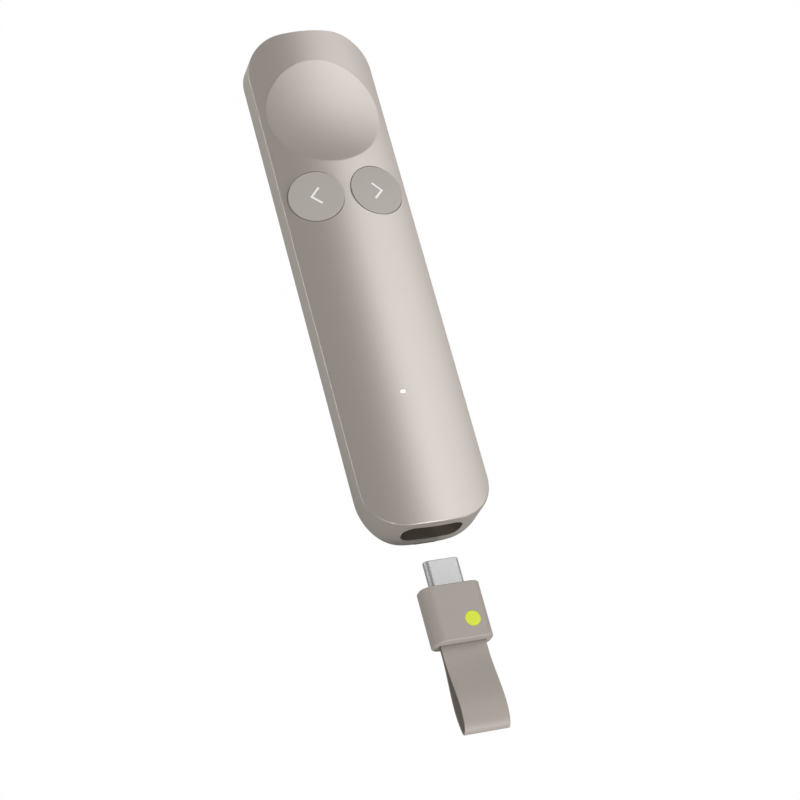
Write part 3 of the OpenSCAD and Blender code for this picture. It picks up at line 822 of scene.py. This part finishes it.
def roundedBar(name, width, height, radius, lowY, highY, segments=12):
    # a bar along Y with its four long edges rounded
    bar = block(name, (-width / 2, lowY, dockZ - height / 2),
                (width / 2, highY, dockZ + height / 2))
    selectEdges(bar, lambda a, b: abs(a.y - b.y) > 0.001)
    edit(bar)
    bpy.ops.mesh.bevel(offset=radius, offset_type="OFFSET", segments=segments, profile=0.5)
    leave()
    return bar


def roundEnd(bar, y, offset, segments=3):
    # softens the edges round one end of a bar
    selectEdges(bar, lambda a, b: abs(a.y - y) < 1e-6 and abs(b.y - y) < 1e-6)
    edit(bar)
    bpy.ops.mesh.bevel(offset=offset, offset_type="OFFSET", segments=segments, profile=0.5)
    leave()


def makeHousing():
    form = receiverForm
    housing = roundedBar("receiverHousing", form["width"], form["height"], form["corner"],
                         strapEndY, plugEndY)
    roundEnd(housing, strapEndY, form["strapEdge"], 4)
    roundEnd(housing, plugEndY, form["plugEdge"], 3)
    thick = form["wall"]
    cutAway(housing, roundedBar("inside", form["width"] - 2 * thick, form["height"] - 2 * thick,
                                form["corner"] - thick, strapEndY + thick, plugEndY + past))
    slitX, slitZ = form["slitWidth"] / 2, form["slitHeight"] / 2
    cutAway(housing, block("slit", (-slitX, strapEndY - past, dockZ - slitZ),
                           (slitX, strapEndY + 2 * thick, dockZ + slitZ)))
    # room for the dot
    floorZ = dockZ + form["height"] / 2 - form["dotDepth"] - form["dotGap"]
    bpy.ops.object.select_all(action="DESELECT")
    bpy.ops.mesh.primitive_cylinder_add(
        vertices=form["dotSides"], radius=form["dotRadius"] + form["dotGap"], depth=past,
        location=(form["dotX"], strapEndY + form["dotUp"], floorZ + past / 2))
    dotRoom = bpy.context.object
    bpy.ops.object.transform_apply(location=True, rotation=True, scale=True)
    cutAway(housing, dotRoom)
    return finish(housing, "receiver", finishes["receiver"],
                  ("receiver_housing",))


plugForm = {"wall": 0.0003, "tipEdge": 0.00022, "flatSide": 0.00002, "sideSteps": 16}


def makePlug():
    low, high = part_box("plug_shell")
    width, height = high.x - low.x, high.z - low.z
    plug = roundedBar("plugShell", width, height, height / 2 - plugForm["flatSide"],
                      low.y, high.y, plugForm["sideSteps"])
    roundEnd(plug, high.y, plugForm["tipEdge"], 4)
    # the mouth: the end face is drawn in and pushed back down the shell
    selectFaces(plug, lambda f: f.center.y > high.y - 1e-6 and f.normal.y > 0.99)
    edit(plug, "FACE")
    bpy.ops.mesh.inset(thickness=plugForm["wall"] - plugForm["tipEdge"])
    bpy.ops.mesh.extrude_region_move(TRANSFORM_OT_translate={
        "value": (0, low.y + plugForm["wall"] - high.y, 0)})
    leave()
    tidy(plug)
    return finish(plug, "receiver", finishes["plug"], ("plug_shell",))


dotForm = {
    "sides": 72,
    # rolled edge: share of the radius, and how far it lies below the top, as a share of the rise
    "roll": ((1, 0.3), (0.992, 0.17), (0.975, 0.08), (0.93, 0.03), (0.8, 0), (0.4, 0)),
}


def makeDot():
    # a low printed drop
    low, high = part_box("receiver_dot")
    middle = (low + high) / 2
    radius = (high.x - low.x) / 2

    def ring(share, z):
        return [(middle.x + x, middle.y + y, z)
                for x, y in circlePoints(radius * share, dotForm["sides"])]
    rise = high.z - low.z
    rings = [ring(1, low.z)]
    rings += [ring(share, high.z - rise * drop) for share, drop in dotForm["roll"]]
    dot = ringSolid("receiverDot", rings)
    return finish(dot, "receiver", finishes["dot"], ("receiver_dot",), angle=50)


strapForm = {
    "width": 0.0106,
    "thick": 0.00034,
    "edge": 0.00010,
    "loop": 0.0204,  # length outside the receiver
    "neck": 0.00046,
    "belly": 0.00190,
    "flat": 0.1,  # share of the loop that lies flat before the belly begins
    "full": 0.8,  # and where the belly is full
    "lean": 0.00075,  # lift of the loop towards its end
    "turn": 3,  # degrees between the rings of the loop
    "straight": 0.0001,  # runs straight this far past the receiver's wall
    "pinRadius": 0.0006,
    "pinAt": 0.0026,
    "pinGap": 0.00005,
    "pinTurn": 105,  # how far the strap reaches round the pin on each side
}


def strapLine():
    # middle line of the loop: distance from the receiver's end, and height from its middle
    form = strapForm

    def loopPoint(share, side):
        opening = min(1, max(0, share - form["flat"]) / (form["full"] - form["flat"]))
        spread = ((form["neck"] + form["belly"] * opening * opening * (3 - 2 * opening))
                  * sqrt(1 - share ** 6))
        drift = form["lean"] * share ** 2 * sqrt(1 - share ** 8)
        return (-share * (form["loop"] - form["thick"] / 2), drift + side * spread)
    turns = [radians(a) for a in range(0, 90, form["turn"])]
    line = [loopPoint(sin(a), 1) for a in turns] + [loopPoint(1, 1)]
    line += [loopPoint(sin(a), -1) for a in turns[::-1]]
    inside = receiverForm["wall"] + form["straight"]
    line.append((inside, -form["neck"]))
    r = form["pinRadius"] + form["pinGap"] + form["thick"] / 2
    wrap = form["pinTurn"]
    line += [(form["pinAt"] + r * cos(radians(a)), r * sin(radians(a)))
             for a in range(-wrap, wrap + 1, 15)]
    line.append((inside, form["neck"]))
    return line


def makeStrap():
    # a flat moulded band with soft edges, swept once round the loop
    form = strapForm
    line = strapLine()
    section = roundRect(form["width"], form["thick"], form["edge"], 5)
    rings = []
    for i, (along, up) in enumerate(line):
        before, after = line[i - 1], line[(i + 1) % len(line)]
        stepY, stepZ = after[0] - before[0], after[1] - before[1]
        size = sqrt(stepY * stepY + stepZ * stepZ)
        rings.append([(a, strapEndY + along + b * stepZ / size, dockZ + up - b * stepY / size)
                      for a, b in section])
    strap = ringSolid("strapLoop", rings + rings[:1], endless=True)
    return finish(strap, "receiver", finishes["strap"], ("strap",))


receiverPieces = [makeHousing(), makePlug(), makeDot(), makeStrap()]
print("receiver:", sum(len(piece.data.polygons) for piece in receiverPieces), "faces")


studio = {
    "floorSize": 3.0,
    "floorColour": (0.40, 0.40, 0.40),
    "glow": 1.0,  # the white that the camera sees
    "glowSeen": 0.995,  # how far the floor's glow hides its shading from the camera
    "glowMirrored": (0.085, 0.40),  # what the finishes mirror: by the tail, dimmed as a painted shadow, and beside the body
    "shadowFadeSpan": (-0.066, -0.030),  # Y where the painted shadow under the tail turns to the floor beside the body
    "world": 0.23,
}
lights = {  # elevation and azimuth as seen from the clicker, in degrees
    "mainBox": {"towards": (45, 30), "away": 0.7, "size": 0.46, "power": 1.48},
    "topFront": {"towards": (61, 45), "away": 0.7, "size": 0.28, "power": 0.317},
    "topRight": {"towards": (69, 0), "away": 0.7, "size": 0.28, "power": 0.294},
    "dishTop": {"towards": (71, 0), "away": 0.7, "size": 0.10, "power": 0.36},
    "sideRight": {"towards": (22, 25), "away": 0.7, "size": 0.36, "power": 0.286},
    "tailBox": {"towards": (30, 300), "away": 0.7, "size": 0.36, "power": 0.92},
    "tailLine": {"towards": (22, 284), "away": 0.7, "size": 0.06, "power": 0.90},
    "cornerLow": {"towards": (22, 235), "away": 0.7, "size": 0.06, "power": 0.47},
    "cornerEdge": {"towards": (28, 223), "away": 0.7, "size": 0.10, "power": 0.66},
    "strapLow": {"towards": (8, 275), "away": 0.21, "size": 0.04, "power": 0.043},
    "leftLow": {"towards": (6, 140), "away": 0.32, "size": 0.20, "power": 0.33},
    "leftNear": {"towards": (4, 165), "away": 0.30, "size": 0.12, "power": 0.23},
}
target = Vector((0, -0.01, 0.006))


def mathStep(tree, kind, a, b):
    node = tree.nodes.new("ShaderNodeMath")
    node.operation = kind
    for socket, value in zip(node.inputs, (a, b)):
        if isinstance(value, float):
            socket.default_value = value
        else:
            tree.links.new(value, socket)
    return node.outputs[0]


def makeFloor():
    bpy.ops.object.select_all(action="DESELECT")
    bpy.ops.mesh.primitive_plane_add(size=studio["floorSize"])
    floor = bpy.context.object
    floor.name = "studioFloor"
    mat = bpy.data.materials.new("studioFloor")
    mat.use_nodes = True
    tree = mat.node_tree
    matte = tree.nodes["Principled BSDF"]
    matte.inputs["Base Color"].default_value = (*studio["floorColour"], 1)
    matte.inputs["Roughness"].default_value = 0.9
    glow = tree.nodes.new("ShaderNodeEmission")
    glow.inputs["Strength"].default_value = studio["glow"]
    path = tree.nodes.new("ShaderNodeLightPath")
    join = tree.links.new
    seen = mathStep(tree, "MAXIMUM", path.outputs["Is Camera Ray"],
                    path.outputs["Is Transmission Ray"])
    # the finishes mirror a floor with a painted shadow under the tail, dimmer there than beside
    # the body
    coords = tree.nodes.new("ShaderNodeTexCoord")
    apart = tree.nodes.new("ShaderNodeSeparateXYZ")
    join(coords.outputs["Object"], apart.inputs["Vector"])
    paintedShadow = tree.nodes.new("ShaderNodeMapRange")
    join(apart.outputs["Y"], paintedShadow.inputs["Value"])
    for end, pair in (("From", studio["shadowFadeSpan"]), ("To", studio["glowMirrored"])):
        paintedShadow.inputs[end + " Min"].default_value, paintedShadow.inputs[end + " Max"].default_value = pair
    white = mathStep(tree, "MULTIPLY", seen, studio["glowSeen"])
    mirrored = mathStep(tree, "MULTIPLY", path.outputs["Is Glossy Ray"], paintedShadow.outputs["Result"])
    share = mathStep(tree, "MAXIMUM", white, mirrored)
    mix = tree.nodes.new("ShaderNodeMixShader")
    join(share, mix.inputs["Fac"])
    join(matte.outputs["BSDF"], mix.inputs[1])
    join(glow.outputs["Emission"], mix.inputs[2])
    join(mix.outputs["Shader"], tree.nodes["Material Output"].inputs["Surface"])
    floor.data.materials.append(mat)


def makeWorld():
    world = bpy.data.worlds.new("studioWorld")
    bpy.context.scene.world = world
    world.use_nodes = True
    tree = world.node_tree
    background = tree.nodes["Background"]
    background.inputs["Color"].default_value = (1, 1, 1, 1)
    # past the floor's end the camera sees the same white
    path = tree.nodes.new("ShaderNodeLightPath")
    seen = mathStep(tree, "MAXIMUM", path.outputs["Is Camera Ray"],
                    path.outputs["Is Transmission Ray"])
    white = mathStep(tree, "MULTIPLY", seen, studio["glow"])
    tree.links.new(mathStep(tree, "MAXIMUM", white, studio["world"]),
                   background.inputs["Strength"])


def makeLights():
    for name, light in lights.items():
        up, turn = [radians(a) for a in light["towards"]]
        away = Vector((cos(up) * cos(turn), cos(up) * sin(turn), sin(up)))
        bpy.ops.object.light_add(type="AREA", location=target + away * light["away"])
        lamp = bpy.context.object
        lamp.name = name
        lamp.data.shape = "SQUARE"
        lamp.data.size = light["size"]
        lamp.data.energy = light["power"]
        lamp.rotation_euler = (-away).to_track_quat("-Z", "Y").to_euler()


view = {
    "right": (0.93650147, -0.24784805, 0.24806521),  # the camera's own axes
    "up": (0.12235688, 0.89391668, 0.43120964),
    "backwards": (-0.3286241, -0.37347598, 0.8674802),
    "offset": (0.007996, -0.029211, 0.620745),  # along those axes
    "level": 0.009572,  # height that the offset starts from
    "sensor": 36,
    "lens": 121.560165,
}


def makeCamera():
    right, up, backwards = [Vector(view[axis]) for axis in ("right", "up", "backwards")]
    across, along, away = view["offset"]
    place = right * across + up * along + backwards * away + Vector((0, 0, view["level"]))
    bpy.ops.object.camera_add()
    camera = bpy.context.object
    camera.matrix_world = Matrix((
        (right.x, up.x, backwards.x, place.x),
        (right.y, up.y, backwards.y, place.y),
        (right.z, up.z, backwards.z, place.z),
        (0, 0, 0, 1)))
    camera.data.sensor_width = view["sensor"]
    camera.data.lens = view["lens"]
    camera.data.clip_start = 0.01
    bpy.context.scene.camera = camera


makeFloor()
makeWorld()
makeLights()
makeCamera()
bpy.context.scene.view_settings.view_transform = "Standard"
print("studio ready")
